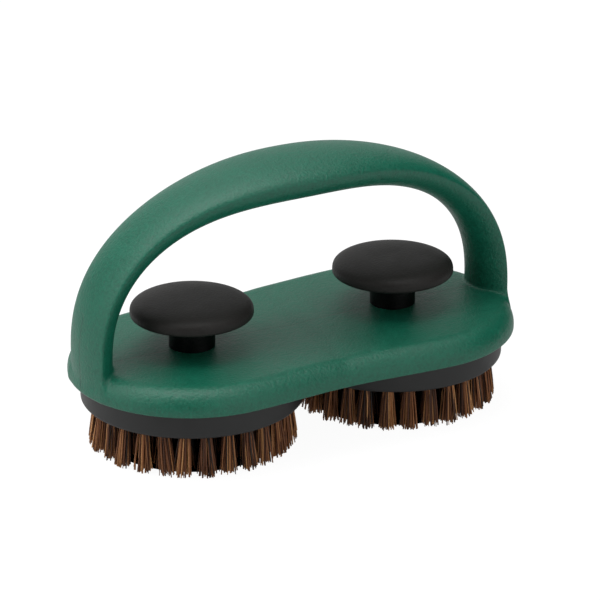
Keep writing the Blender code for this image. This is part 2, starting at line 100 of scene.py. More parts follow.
def make_camera():
    """A long lens that looks along the photograph's direction at the middle of the brush."""
    data = bpy.data.cameras.new("photo_camera")
    data.lens = FOCAL_LENGTH_PIXELS * data.sensor_width / PHOTO_PIXELS
    data.clip_start = CLIP_START
    data.clip_end = CLIP_END
    camera = bpy.data.objects.new("photo_camera", data)
    bpy.context.scene.collection.objects.link(camera)
    flat = math.cos(CAMERA_ELEVATION)
    back = Vector((math.sin(CAMERA_AZIMUTH) * flat, -math.cos(CAMERA_AZIMUTH) * flat,
                   math.sin(CAMERA_ELEVATION)))
    right = Vector((math.cos(CAMERA_AZIMUTH), math.sin(CAMERA_AZIMUTH), 0.0))
    up = back.cross(right)
    place = back * CAMERA_DISTANCE + right * CAMERA_SHIFT_RIGHT + up * CAMERA_SHIFT_UP
    camera.location = place - Vector((0.0, 0.0, CAMERA_FLOOR))
    camera.rotation_euler = Matrix((right, up, back)).transposed().to_euler()
    bpy.context.scene.camera = camera
    return camera


camera = make_camera()
print("camera stands at", [round(value, 3) for value in camera.location])

# %% [markdown]
# A grid of points becomes a mesh with one quad for each of its cells. Where a whole row of the
# grid meets in one point, as on the top of a knob, merging its doubles closes the pole.

# %% From grids to meshes
WELD = 0.002 * MM
NEARLY_ZERO = 1e-9
CORNER_ANGLE = math.radians(35.0)
TURN_COLUMNS = 144


def mesh_of(name, points, quads):
    """A mesh from arrays of points and of quads, with smooth faces."""
    mesh = bpy.data.meshes.new(name)
    mesh.vertices.add(len(points))
    mesh.vertices.foreach_set("co", np.ascontiguousarray(points, dtype=np.float32).ravel())
    mesh.loops.add(quads.size)
    mesh.loops.foreach_set("vertex_index", quads.ravel().astype(np.int32))
    mesh.polygons.add(len(quads))
    starts = np.arange(0, quads.size, quads.shape[1], dtype=np.int32)
    mesh.polygons.foreach_set("loop_start", starts)
    mesh.update(calc_edges=True)
    mesh.shade_smooth()
    return mesh


def grid_quads(rows, columns, closed_columns=False):
    """The corner numbers of the cells of a grid, whose rows may each close on themselves."""
    index = np.arange(rows * columns).reshape(rows, columns)
    if closed_columns:
        index = np.hstack([index, index[:, :1]])
    corners = [index[:-1, :-1], index[:-1, 1:], index[1:, 1:], index[1:, :-1]]
    return np.stack(corners, axis=-1).reshape(-1, 4)


def tidy(mesh):
    """Merge a mesh's doubles, turn its faces outwards and keep its corners sharp."""
    cells = bmesh.new()
    cells.from_mesh(mesh)
    bmesh.ops.remove_doubles(cells, verts=cells.verts, dist=WELD)
    bmesh.ops.recalc_face_normals(cells, faces=cells.faces)
    cells.to_mesh(mesh)
    cells.free()
    mesh.set_sharp_from_angle(angle=CORNER_ANGLE)
    return mesh


def round_mesh(name, centre_x, radius, height, angle):
    """A mesh of rows of points round an upright axis: the axis plus the radius times the
    cosine and the sine of the angle, at the height."""
    points = np.stack([centre_x + radius * np.cos(angle), radius * np.sin(angle),
                       height + 0 * angle], axis=-1)
    quads = grid_quads(*points.shape[:2], closed_columns=True)
    return tidy(mesh_of(name, points.reshape(-1, 3), quads))


def turned(name, profile, centre_x, columns=TURN_COLUMNS):
    """A profile of (radius, height) pairs turned about an upright axis."""
    radius, height = np.array(profile).T[:, :, None]
    return round_mesh(name, centre_x, radius, height, np.arange(columns) * 2 * math.pi / columns)


def curve_round(centre, radius, start, end, steps, exponent=2.0):
    """Part of a superellipse in a profile, from one angle to another in degrees: each of
    the cosine and the sine, raised to 2 / exponent, times its own radius."""
    angle = np.radians(np.linspace(start, end, steps))
    wave = np.stack([np.cos(angle), np.sin(angle)], axis=-1)
    wave = np.sign(wave) * np.where(np.abs(wave) < NEARLY_ZERO, 0.0, np.abs(wave)) ** (2 / exponent)
    return list(map(tuple, np.array(centre) + np.array(radius) * wave))


def add_piece(name, mesh, body, material, replaced=()):
    """Link a mesh as a piece that rides on a CAD body and stands for CAD nodes."""
    piece = bpy.data.objects.new(name, mesh)
    bpy.context.scene.collection.objects.link(piece)
    mesh.materials.clear()
    mesh.materials.append(material)
    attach(piece, body)
    if replaced:
        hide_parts(*replaced)
    triangles = sum(len(face.vertices) - 2 for face in mesh.polygons)
    print(name, "has", triangles, "triangles")


# %% [markdown]
# Shader maths reads best as ordinary sums. One small class wraps a socket that carries a
# number, and each operator on it adds one Math node. Every other node comes from one method.

# %% Finishes as Python expressions
class Number:
    """A number that varies over a surface, as one output socket of a material's nodes."""

    def __init__(self, tree, output):
        self.tree = tree
        self.output = output

    def math(self, operation, first, second):
        node = self.tree.nodes.new("ShaderNodeMath")
        node.operation = operation
        for socket, value in zip(node.inputs, (first, second)):
            if isinstance(value, Number):
                self.tree.links.new(value.output, socket)
            else:
                socket.default_value = value
        return Number(self.tree, node.outputs[0])

    def __add__(self, other):
        return self.math("ADD", self, other)

    def __sub__(self, other):
        return self.math("SUBTRACT", self, other)

    def __rsub__(self, other):
        return self.math("SUBTRACT", other, self)

    def __mul__(self, other):
        return self.math("MULTIPLY", self, other)

    def __lt__(self, other):
        return self.math("LESS_THAN", self, other)

    def __gt__(self, other):
        return self.math("GREATER_THAN", self, other)

    __radd__ = __add__
    __rmul__ = __mul__


class Finish:
    """A material whose nodes feed one Principled shader."""

    def __init__(self, name, roughness, **fixed):
        self.material = bpy.data.materials.new(name)
        self.material.use_nodes = True
        self.tree = self.material.node_tree
        self.shader = self.tree.nodes["Principled BSDF"]
        self.shader.inputs["Roughness"].default_value = roughness
        for socket, value in fixed.items():
            self.shader.inputs[socket.replace("_", " ")].default_value = value

    def node(self, kind, settings=None, **values):
        """Add a node: its settings first, then the values or links of its sockets."""
        node = self.tree.nodes.new(kind)
        for key, setting in (settings or {}).items():
            if key == "stops":
                self.set_stops(node.color_ramp, setting)
            else:
                setattr(node, key, setting)
        for key, value in values.items():
            self.feed(self.socket_of(node, key), value)
        return node

    def set_stops(self, ramp, stops):
        """Give a colour ramp its stops as (place, colour) pairs."""
        while len(ramp.elements) < len(stops):
            ramp.elements.new(1.0)
        for element, (place, colour) in zip(ramp.elements, stops):
            element.position = place
            element.color = (*colour, 1.0)

    def socket_of(self, node, key):
        """The node's enabled input with that name, written with underscores for spaces."""
        wanted = key.replace("_", " ")
        return next(item for item in node.inputs if item.enabled and item.name == wanted)

    def feed(self, socket, value):
        if isinstance(value, Number):
            value = value.output
        if isinstance(value, bpy.types.NodeSocket):
            self.tree.links.new(value, socket)
        elif isinstance(value, tuple) and len(value) == 3 and socket.type == "RGBA":
            socket.default_value = (*value, 1.0)
        else:
            socket.default_value = value

    def number(self, node, name=None):
        """One output of a node, by name or else the first, as a Number."""
        return Number(self.tree, node.outputs[name] if name else node.outputs[0])

    def place(self):
        """Object coordinates, which no camera or pose changes."""
        return self.node("ShaderNodeTexCoord").outputs["Object"]

    def noise(self, vector, scale, detail=2.0, roughness=0.5):
        node = self.node("ShaderNodeTexNoise", Vector=vector, Scale=scale, Detail=detail,
                         Roughness=roughness)
        return self.number(node, "Fac")

    def mix(self, factor, first, second):
        """A colour between two, by a factor from 0 to 1."""
        node = self.node("ShaderNodeMix", {"data_type": "RGBA"}, Factor=factor, A=first, B=second)
        return next(item for item in node.outputs if item.enabled)

    def ramp(self, factor, stops):
        return self.node("ShaderNodeValToRGB", {"stops": stops}, Fac=factor).outputs["Color"]

    def bump(self, height, distance):
        """Tilt the surface by a height that is given in metres for a value of 1."""
        node = self.node("ShaderNodeBump", Height=height, Distance=distance)
        self.feed(self.shader.inputs["Normal"], node.outputs["Normal"])

    def colour(self, value):
        self.feed(self.shader.inputs["Base Color"], value)

    def rough(self, value):
        self.feed(self.shader.inputs["Roughness"], value)


# %% [markdown]
# The moulding is a satin green plastic with a fine sandblast grain. Its colour drifts a little
# over the surface, and a faint parting line of the mould runs along its middle.

# %% Green plastic
GREEN_DEEP = (0.0014, 0.093, 0.054)
GREEN_LIGHT = (0.0034, 0.147, 0.086)
GREEN_LINE = (0.002, 0.06, 0.034)
DRIFT_PER_METRE = 28.0
CLOUD_PER_METRE = 160.0
GREEN_GRAIN_PER_METRE = 850.0
GRAIN_HEIGHT = 0.3 * MM
DRIFT_IN_SHADE, CLOUD_IN_SHADE, GRAIN_IN_SHADE = 0.5, 0.6, 2.0
SHADE_OFFSET = 1.05
MEAN_ROUGHNESS = 0.42
LEAST_ROUGHNESS = 0.30
CLOUD_IN_ROUGHNESS, GRAIN_IN_ROUGHNESS = 0.12, 0.14
LINE_IN_COLOUR = 0.55
CLOUD_IN_RELIEF, LINE_IN_RELIEF = 0.6, 0.6
LINE_HALF_WIDTH = 0.4 * MM
LINE_TOP = DECK_TOP + 22.0 * MM


def make_green():
    """Deep sea green with fine grain, slow colour drift and a faint, darker parting line."""
    finish = Finish("green_plastic", MEAN_ROUGHNESS)
    place = finish.place()
    drift = finish.noise(place, DRIFT_PER_METRE, detail=3.0)
    grain = finish.noise(place, GREEN_GRAIN_PER_METRE, detail=3.0, roughness=0.6)
    cloud = finish.noise(place, CLOUD_PER_METRE, detail=3.0, roughness=0.6)
    shade = drift * DRIFT_IN_SHADE + cloud * CLOUD_IN_SHADE + grain * GRAIN_IN_SHADE - SHADE_OFFSET
    plain = finish.mix(shade, GREEN_DEEP, GREEN_LIGHT)
    finish.rough(LEAST_ROUGHNESS + cloud * CLOUD_IN_ROUGHNESS + grain * GRAIN_IN_ROUGHNESS)
    parts = finish.node("ShaderNodeSeparateXYZ", Vector=place)
    across = finish.number(parts, "Y")
    parting = finish.number(finish.node(
        "ShaderNodeMath", {"operation": "ABSOLUTE"}, Value=across)) < LINE_HALF_WIDTH
    line = parting * (finish.number(parts, "Z") < LINE_TOP)
    finish.colour(finish.mix(line * LINE_IN_COLOUR, plain, GREEN_LINE))
    height = grain + cloud * CLOUD_IN_RELIEF - line * LINE_IN_RELIEF
    finish.bump(height, GRAIN_HEIGHT)
    return finish.material


green_plastic = make_green()
print("made the finish", green_plastic.name)

# %% [markdown]
# The moulding is a form where surfaces flow into each other: the handle's feet grow out of the
# rounded deck with a small fillet, which two overlapping grids don't give. So it is written as
# a distance formula: negative inside the plastic, positive outside, zero on its surface. The
# deck, the arch and the hollow under the deck each have such a formula, and they are joined by
# a minimum that is rounded where the two are near each other.

# %% The deck as a distance
DECK_WALL = 3.0 * MM
DECK_EDGE_RADIUS = 8.5 * MM
DECK_WAIST_DEPTH = 2.5 * MM
WAIST_VALLEY_DEPTH = 0.7 * MM
WAIST_VALLEY_WIDTH = 5.0 * MM
RIM_ROUNDING = 1.2 * MM


def deck_distance(x, y, z, inset=0.0):
    """Distance to the deck's form, drawn in by inset.

    In plan it is the distance to a half circle round each knob axis, or to the waist
    between them, which narrows as a cosine wave. In height it is the distance to the top
    face, which dips in a shallow valley over the middle. An arc of the edge radius joins
    the two.
    """
    radius = DECK_END_RADIUS - inset
    past_axis = np.maximum(np.abs(x) - AXIS_X, 0.0)
    wave = (1 + np.cos(math.pi * np.minimum(np.abs(x) / AXIS_X, 1.0))) / 2
    plan = np.hypot(past_axis, y) - radius + DECK_WAIST_DEPTH * wave
    valley = WAIST_VALLEY_DEPTH / (1 + (x / WAIST_VALLEY_WIDTH) ** 2)
    top = DECK_TOP - inset - valley * (inset == 0.0)
    edge = DECK_EDGE_RADIUS - inset
    side, rise = plan + edge, z - top + edge
    outside = np.hypot(np.maximum(side, 0.0), np.maximum(rise, 0.0))
    return outside + np.minimum(np.maximum(side, rise), 0.0) - edge


end_gap = float(deck_distance(body_high.x, 0.0, RIM_Z))
print("the handle's feet stand", round(end_gap / MM, 2), "mm proud of the deck's ends")

# %% The arch as a distance
ARCH_RISE = 62.55 * MM
ARCH_EXPONENT = 2.33
FOOT_STRAIGHT = 2.8 * MM
FOOT_PROUD = 0.1 * MM
FOOT_DRAW_IN = 0.6 * MM
FOOT_HALF_WIDTH = 13.9 * MM
FOOT_HALF_THICKNESS = 6.3 * MM
GRIP_HALF_WIDTH = 20.5 * MM
GRIP_HALF_THICKNESS = 8.4 * MM
GROWTH_EXPONENT = 5.5
FOOT_LEAN = 0.5
GRIP_LEAN = 0.2
FOOT_BACK_EXPONENT = 0.85
GRIP_BACK_EXPONENT = 0.52
FOOT_INSIDE_EXPONENT = 0.75
GRIP_INSIDE_EXPONENT = 0.5
INSIDE_WIDTH_EXPONENT = 2.3
ARCH_HALF_SPAN = AXIS_X + DECK_END_RADIUS + FOOT_PROUD - FOOT_HALF_THICKNESS
ARCH_BASE = DECK_TOP + FOOT_STRAIGHT
ARCH_SAMPLES = 4001
LINE_POINTS = 600
FOOT_POINTS = 30
OFF_ZERO = 1e-6
LEAST_SLOPE = 20.0


def arch_line():
    """The handle's centre line as even steps: a superellipse, |x / half span| to the
    exponent plus the same of the height is 1, on two short straight feet. Also the
    direction at each point, and the share of the way from the nearer foot to the crown."""
    angle = np.linspace(0.0, math.pi, ARCH_SAMPLES)
    power = 2 / ARCH_EXPONENT
    x = ARCH_HALF_SPAN * np.sign(np.cos(angle)) * np.abs(np.cos(angle)) ** power
    z = ARCH_BASE + ARCH_RISE * np.abs(np.sin(angle)) ** power
    length = np.concatenate([[0.0], np.cumsum(np.hypot(np.diff(x), np.diff(z)))])
    even = np.linspace(0.0, length[-1], LINE_POINTS)
    share = 1 - np.abs(2 * even / length[-1] - 1)
    x, z = np.interp(even, length, x), np.interp(even, length, z)
    foot_z = np.linspace(RIM_Z, ARCH_BASE, FOOT_POINTS)[:-1]
    foot_x = ARCH_HALF_SPAN - FOOT_DRAW_IN * np.maximum(DECK_TOP - foot_z, 0) / DECK_EDGE_RADIUS
    x = np.concatenate([foot_x, x, -foot_x[::-1]])
    z = np.concatenate([foot_z, z, foot_z[::-1]])
    still = np.zeros(len(foot_z))
    share = np.concatenate([still, share, still])
    run = np.stack([np.gradient(x), np.gradient(z)], axis=-1)
    return np.stack([x, z], axis=-1), run / np.linalg.norm(run, axis=-1, keepdims=True), share


line_points, line_runs, line_shares = arch_line()
line_steps = np.linalg.norm(np.gradient(line_points, axis=0), axis=1)
line_length = np.linalg.norm(np.diff(line_points, axis=0), axis=1).sum()
print("the handle's centre line is", round(float(line_length) / MM, 1), "mm long")


def nearest_on_arch(x, z, chunk=20000):
    """The number of the nearest point of the centre line, for points of its plane."""
    flat = np.stack([np.ravel(x), np.ravel(z)], axis=-1)
    parts = [((part[:, None] - line_points) ** 2).sum(axis=-1).argmin(axis=1)
             for part in np.split(flat, range(chunk, len(flat), chunk))]
    return np.concatenate(parts).reshape(np.shape(x))


def place_on_arch(x, z, nearest):
    """How far outward of the centre line points lie, and their share of the way up. Each
    slides from its nearest point of the line along the line's direction there."""
    run_x, run_z = line_runs[nearest, 0], line_runs[nearest, 1]
    off_x, off_z = x - line_points[nearest, 0], z - line_points[nearest, 1]
    position = nearest + (off_x * run_x + off_z * run_z) / line_steps[nearest]
    share = np.interp(position, np.arange(len(line_shares)), line_shares)
    return off_x * run_z - off_z * run_x, share


def section_sizes(share):
    """Half width, half thickness and lean of the section. They grow towards the crown by
    a high power of the sine of the way up, so that the legs stay slim."""
    grown = np.sin(share * math.pi / 2) ** GROWTH_EXPONENT
    return (FOOT_HALF_WIDTH + (GRIP_HALF_WIDTH - FOOT_HALF_WIDTH) * grown,
            FOOT_HALF_THICKNESS + (GRIP_HALF_THICKNESS - FOOT_HALF_THICKNESS) * grown,
            FOOT_LEAN + (GRIP_LEAN - FOOT_LEAN) * grown)


def section_distance(across, outward, share):
    """Distance to the handle's section.

    The broad back is the curve where (height) to 1 / exponent plus (width) squared is 1,
    and the inside has exponents of its own. They meet in a ridge near the feet, and both
    grow into a soft oval at the grip. The formula's value over the length of its slope
    gives a distance.
    """
    width, thickness, lean = section_sizes(share)
    soft = np.sin(share * math.pi / 2)
    back_power = 1 / (FOOT_BACK_EXPONENT + (GRIP_BACK_EXPONENT - FOOT_BACK_EXPONENT) * soft)
    inside_power = 1 / (FOOT_INSIDE_EXPONENT + (GRIP_INSIDE_EXPONENT - FOOT_INSIDE_EXPONENT) * soft)
    side = np.abs(across) / width + OFF_ZERO
    height = outward / thickness - lean
    is_back = height >= 0
    reach = np.where(is_back, 1 - lean, 1 + lean)
    share_up = np.abs(height) / reach + OFF_ZERO
    power_up = np.where(is_back, back_power, inside_power)
    power_side = np.where(is_back, 2.0, INSIDE_WIDTH_EXPONENT)
    value = share_up ** power_up + side ** power_side - 1
    slope_up = power_up * share_up ** (power_up - 1) / reach / thickness
    slope_side = power_side * side ** (power_side - 1) / width
    return value / np.maximum(np.hypot(slope_up, slope_side), LEAST_SLOPE)


# %% The moulding as one distance
INNER_FILLET = 1.4 * MM
OUTER_FILLET = 4.2 * MM
RIM_FILLET = 2.4 * MM
FACE_FILLET = 0.7 * MM
BACK_START = 0.3
CORNER_EXPONENT = 4
STUD_HOLE_RADIUS = 4.5 * MM
STUD_HOLE_DEPTH = 12.0 * MM
STUD_HOLE_RISE = 2.0 * MM


def rounded_minimum(first, second, reach):
    """The smaller of two distances, less a rounding where they differ by less than reach."""
    near = np.maximum(reach - np.abs(first - second), 0.0) / reach
    return np.minimum(first, second) - near ** 2 * reach / 4


def moulding_distance(x, y, z, outward, share):
    """Deck and arch joined by a fillet, less the hollow under the deck and the stud holes.

    The fillet is narrow on the inner face of a foot and wide at its outer corners, where
    it narrows again down the deck's edge. It fades on the outer face, which runs flush
    into the deck's wall.
    """
    arch = section_distance(y, outward, share)
    edge = np.clip(np.abs(y) / FOOT_HALF_WIDTH, 0.0, 1.0)
    on_back = np.clip(outward / FOOT_HALF_THICKNESS + BACK_START, 0.0, 1.0)
    high = np.clip((z - DECK_TOP) / DECK_EDGE_RADIUS + 1.0, 0.0, 1.0)
    corner = RIM_FILLET + (OUTER_FILLET - RIM_FILLET) * high
    on_corner = corner * edge ** CORNER_EXPONENT
    fillet = INNER_FILLET + on_back * (on_corner + FACE_FILLET - INNER_FILLET)
    solid = rounded_minimum(deck_distance(x, y, z), arch, fillet)
    hollow = deck_distance(x, y, z, DECK_WALL)
    shell = -rounded_minimum(-solid, hollow, RIM_ROUNDING)
    shell = -rounded_minimum(-shell, z - RIM_Z, RIM_ROUNDING)
    from_axis = np.hypot(np.abs(x) - AXIS_X, y)
    hole = np.maximum(STUD_HOLE_RADIUS - from_axis, DECK_TOP - STUD_HOLE_DEPTH - z)
    hole = np.minimum(hole, DECK_TOP + STUD_HOLE_RISE - z)
    return np.maximum(shell, hole)


# %% [markdown]
# To mesh the formula, a lattice samples it, and each lattice cell that the surface passes
# through gets one point at the mean of the crossings on its edges. Each point then slides down
# the formula's slope until it lies within a few hundredths of a millimetre of the surface.

# %% From a distance to a mesh
LATTICE_STEP = 0.87 * MM
SETTLE_ROUNDS = 4
LEAST_STEEPNESS = 0.2
RIDGE_CATCH = 0.6 * MM
RIDGE_TOLERANCE = 0.03 * MM
RIDGE_SIDES = 3 * RIDGE_CATCH
RIDGE_END = 0.45
RIDGE_SHARPNESS = 0.6
INTO_QUAD = 0.35
SLOPE_STEP = 0.05 * MM
SHADE_STEP = 0.4 * MM


def lattice_surface(field, low, step):
    """Points and quads of the surface where a lattice of distances changes sign."""
    shape = np.array(field.shape) - 1
    total = np.zeros((*shape, 3))
    count = np.zeros(shape)
    inside = field < 0
    crossings = []
    for axis in range(3):
        first = [slice(None)] * 3
        second = [slice(None)] * 3
        first[axis], second[axis] = slice(None, -1), slice(1, None)
        first, second = tuple(first), tuple(second)
        crosses = inside[first] != inside[second]
        fall = np.where(crosses, field[first] - field[second], 1.0)
        part = np.where(crosses, field[first] / fall, 0.0)
        crossings.append((crosses, inside[first]))
        others = [other for other in range(3) if other != axis]
        for shift_a in (0, 1):
            for shift_b in (0, 1):
                pick = [slice(None)] * 3
                pick[others[0]] = slice(shift_a, shift_a + shape[others[0]])
                pick[others[1]] = slice(shift_b, shift_b + shape[others[1]])
                hit = crosses[tuple(pick)]
                count += hit
                total[..., axis] += part[tuple(pick)]
                total[..., others[0]] += hit * shift_a
                total[..., others[1]] += hit * shift_b
    used = count > 0
    number = np.full(shape, -1)
    number[used] = np.arange(used.sum())
    corner = np.stack(np.nonzero(used), axis=-1)
    points = low + step * (corner + total[used] / count[used][:, None])
    quads = []
    for axis, (crosses, starts_inside) in enumerate(crossings):
        one, two = [other for other in range(3) if other != axis]
        at = np.stack(np.nonzero(crosses), axis=-1)
        within = [(at[:, other] > 0) & (at[:, other] < shape[other]) for other in (one, two)]
        at = at[within[0] & within[1]]
        ring = []
        for back_one, back_two in ((1, 1), (0, 1), (0, 0), (1, 0)):
            cell = at.copy()
            cell[:, one] -= back_one
            cell[:, two] -= back_two
            ring.append(number[tuple(cell.T)])
        ring = np.stack(ring, axis=-1)
        flip = starts_inside[tuple(at.T)] == (axis == 1)
        ring[flip] = ring[flip][:, ::-1]
        quads.append(ring)
    return points, np.vstack(quads)


def moulding_value(points, nearest):
    """The moulding's distance at points whose nearest points of the arch are known."""
    return moulding_distance(*points.T, *place_on_arch(points[:, 0], points[:, 2], nearest))


def slope_of(points, nearest, reach):
    """The slope of the moulding's distance at points, by central differences."""
    slope = np.empty_like(points)
    for axis in range(3):
        shift = np.zeros(3)
        shift[axis] = reach
        slope[:, axis] = (moulding_value(points + shift, nearest)
                          - moulding_value(points - shift, nearest)) / (2 * reach)
    return slope


def settle(points, nearest):
    """Slide points down the slope onto the surface, at most half a lattice step a time."""
    for _ in range(SETTLE_ROUNDS):
        slope = slope_of(points, nearest, SLOPE_STEP)
        steep = np.maximum((slope ** 2).sum(axis=1), LEAST_STEEPNESS)
        move = slope * (moulding_value(points, nearest) / steep)[:, None]
        length = np.maximum(np.linalg.norm(move, axis=1, keepdims=True), NEARLY_ZERO)
        points = points - move * np.minimum(1.0, LATTICE_STEP / 2 / length)
    return points


def catch_ridge(points, nearest):
    """Move the points beside the handle's ridge onto it, and tell which they are.

    The ridge runs where the section is widest. It is left soft above RIDGE_END and in the
    fillet on the deck.
    """
    outward, share = place_on_arch(points[:, 0], points[:, 2], nearest)
    width, thickness, lean = section_sizes(share)
    lift = lean * thickness - outward
    beside = np.hypot(lift, np.abs(points[:, 1]) - width)
    run_x, run_z = line_runs[nearest].T
    moved = points + np.stack([lift * run_z, 0 * lift, -lift * run_x], axis=-1)
    moved[:, 1] = np.sign(points[:, 1]) * width
    caught = (beside < RIDGE_CATCH) & (share < RIDGE_END) & (points[:, 2] > DECK_TOP)
    caught &= np.abs(moulding_value(moved, nearest)) < RIDGE_TOLERANCE
    return np.where(caught[:, None], moved, points), caught, beside


def corner_normals(points, quads, nearest, caught, beside):
    """A normal for each corner of each quad: the slope at its point, taken close by beside
    the ridge. On the ridge it lies between the mean of both sides and the slope a little
    way into the quad, so that each side keeps some of its own and the edge looks rounded."""
    normal = slope_of(points, nearest, SHADE_STEP)
    close = (beside < RIDGE_SIDES) & ~caught
    normal[close] = slope_of(points[close], nearest[close], SLOPE_STEP)
    corners = normal[quads]
    at_ridge = caught[quads]
    centre = points[quads].mean(axis=1, keepdims=True)
    inward = (points[quads] + INTO_QUAD * (centre - points[quads]))[at_ridge]
    own = slope_of(inward, nearest[quads][at_ridge], SLOPE_STEP)
    corners[at_ridge] = RIDGE_SHARPNESS * own + (1 - RIDGE_SHARPNESS) * corners[at_ridge]
    corners = corners.reshape(-1, 3)
    return corners / np.linalg.norm(corners, axis=1, keepdims=True)


def make_moulding():
    """Sample the moulding on a lattice, mesh it and settle its points on the surface."""
    margin = 2 * LATTICE_STEP
    low = np.array([-body_high.x, -body_high.y, body_low.z]) - margin
    counts = np.ceil((np.array(body_high) - low + margin) / LATTICE_STEP).astype(int) + 1
    ticks = [low[axis] + LATTICE_STEP * np.arange(counts[axis]) for axis in range(3)]
    plane_x, plane_z = np.meshgrid(ticks[0], ticks[2], indexing="ij")
    outward, share = place_on_arch(plane_x, plane_z, nearest_on_arch(plane_x, plane_z))
    x, y, z = np.meshgrid(*ticks, indexing="ij")
    field = moulding_distance(x, y, z, outward[:, None, :], share[:, None, :])
    points, quads = lattice_surface(field, low, LATTICE_STEP)
    nearest = nearest_on_arch(points[:, 0], points[:, 2])
    points = settle(points, nearest)
    points, caught, beside = catch_ridge(points, nearest)
    mesh = mesh_of("moulding", points, quads)
    mesh.normals_split_custom_set(corner_normals(points, quads, nearest, caught, beside))
    error = np.abs(moulding_value(points, nearest)).max()
    print("points lie within", round(float(error) / MM, 4), "mm of the form, and",
          int(caught.sum()), "lie on the ridge")
    return mesh


add_piece("moulding", make_moulding(), "deck", green_plastic, ["handle_body"])

# %% [markdown]
# Under the deck stand a rib along it, one across its waist and two slanting ones through each
# hub, with hubs round the stud holes, seat rings for the heads and sockets for their drive
# pegs. They are plain walls and tubes, so the same meshing joins them in one formula, cut off
# inside the deck's wall.

# %% Ribs, hubs and seats under the deck
SEAT_Z = BLOCK_TOP + TOUCH_GAP
CEILING_Z = DECK_TOP - DECK_WALL
RIB_HALF_THICKNESS = 1.0 * MM
HUB_RADIUS = 11.5 * MM
RIB_ANGLES = (math.pi / 3, 2 * math.pi / 3)
SEAT_RING_INSET = 8.0 * MM
SEAT_RING_RADIUS = BLOCK_RADIUS - SEAT_RING_INSET
PEG_RADIUS = 3.0 * MM
PEG_CIRCLE_RADIUS = 25.0 * MM
SOCKET_RADIUS = PEG_RADIUS + TOUCH_GAP
SOCKET_WALL = 2.2 * MM
UNDERSIDE_STEP = 1.0 * MM


def underside_distance(x, y, z):
    """The nearest of the ribs' walls, the hub's, the seat ring's and the sockets' tubes,
    kept inside the deck's wall and above the seats."""
    from_axis = np.abs(x) - AXIS_X
    ribs = np.minimum(np.abs(x), np.abs(y)) - RIB_HALF_THICKNESS
    for angle in RIB_ANGLES:
        wall = np.abs(from_axis * math.sin(angle) - y * math.cos(angle)) - RIB_HALF_THICKNESS
        ribs = np.minimum(ribs, np.maximum(wall, np.hypot(from_axis, y) - BLOCK_RADIUS))
    hub = np.hypot(from_axis, y)
    tubes = np.minimum(hub - HUB_RADIUS, np.abs(hub - SEAT_RING_RADIUS) - RIB_HALF_THICKNESS)
    socket = np.hypot(from_axis, np.abs(y) - PEG_CIRCLE_RADIUS)
    solid = np.minimum(np.minimum(ribs, tubes), socket - SOCKET_RADIUS - SOCKET_WALL)
    solid = np.maximum(solid, np.maximum(STUD_HOLE_RADIUS - hub, SOCKET_RADIUS - socket))
    return np.maximum(solid, np.maximum(deck_distance(x, y, z, DECK_WALL / 2), SEAT_Z - z))


def make_underside():
    """Mesh the ribs, hubs and seats on a lattice of their own."""
    low = np.array([-body_high.x, -body_high.y, SEAT_Z]) - 2 * UNDERSIDE_STEP
    high = np.array([body_high.x, body_high.y, DECK_TOP]) + 2 * UNDERSIDE_STEP
    ticks = [np.arange(low[axis], high[axis], UNDERSIDE_STEP) for axis in range(3)]
    x, y, z = np.meshgrid(*ticks, indexing="ij")
    points, quads = lattice_surface(underside_distance(x, y, z), low, UNDERSIDE_STEP)
    return tidy(mesh_of("underside", points, quads))


add_piece("underside", make_underside(), "deck", green_plastic)

# %% [markdown]
# The knobs are matt black plastic with a very fine grain. Their stems are smoother, and a
# deeper black that is painted shade for the shadow under the cap. The blocks have hardly any
# grain. All of it is nearly black in itself, and what shows is the gloss of a white room. The
# studs are zinc plated steel, the inserts brass.

# %% Black plastics and metals
BLACK_KNOB = (0.0205, 0.019, 0.0178)
BLACK_BLOCK = (0.002, 0.0025, 0.0025)
# The stem's deeper black is painted shade for the shadow under the knob's cap
STEM_BLACK_WITH_PAINTED_SHADE = (0.001, 0.001, 0.001)
KNOB_UNDERSIDE_Z = DECK_TOP + 12.4 * MM
GLOSS_PER_METRE = 120.0
BLACK_GRAIN_PER_METRE = 1000.0
GLOSS_SWING = 0.12
STEM_GLOSS = 0.12
STAIN_PER_METRE = 300.0
STAIN_SHADE = 0.8
POLISH_PER_METRE = 700.0
POLISH_SWING = 0.1


def make_black(name, colour, roughness, grain_height, specular, smoother_with_painted_shade_below=None):
    """Black plastic with grain and slow drifts of its gloss. Below a height, as on the stem
    of a knob, it is smoother, and deep black as painted shade for the shadow under the cap."""
    finish = Finish(name, roughness, Specular_IOR_Level=specular)
    place = finish.place()
    cloud = finish.noise(place, GLOSS_PER_METRE, detail=3.0, roughness=0.6)
    grain = finish.noise(place, BLACK_GRAIN_PER_METRE, roughness=0.6)
    finish.bump(grain, grain_height)
    gloss = roughness - GLOSS_SWING / 2 + cloud * GLOSS_SWING
    if smoother_with_painted_shade_below:
        # Below the cap the lower roughness is the stem's own smoother plastic, and the deeper black
        # is painted shade.
        low = finish.number(finish.node("ShaderNodeSeparateXYZ", Vector=place), "Z") < smoother_with_painted_shade_below
        finish.colour(finish.mix(low, colour, STEM_BLACK_WITH_PAINTED_SHADE))
        gloss = gloss - low * STEM_GLOSS
    else:
        finish.colour(colour)
    finish.rough(gloss)
    return finish.material


def make_metal(name, colour, roughness):
    """Bare metal with small drifts of its polish."""
    finish = Finish(name, roughness, Metallic=1.0)
    place = finish.place()
    stained = tuple(STAIN_SHADE * part for part in colour)
    finish.colour(finish.mix(finish.noise(place, STAIN_PER_METRE), stained, colour))
    finish.rough(roughness + finish.noise(place, POLISH_PER_METRE) * POLISH_SWING)
    return finish.material


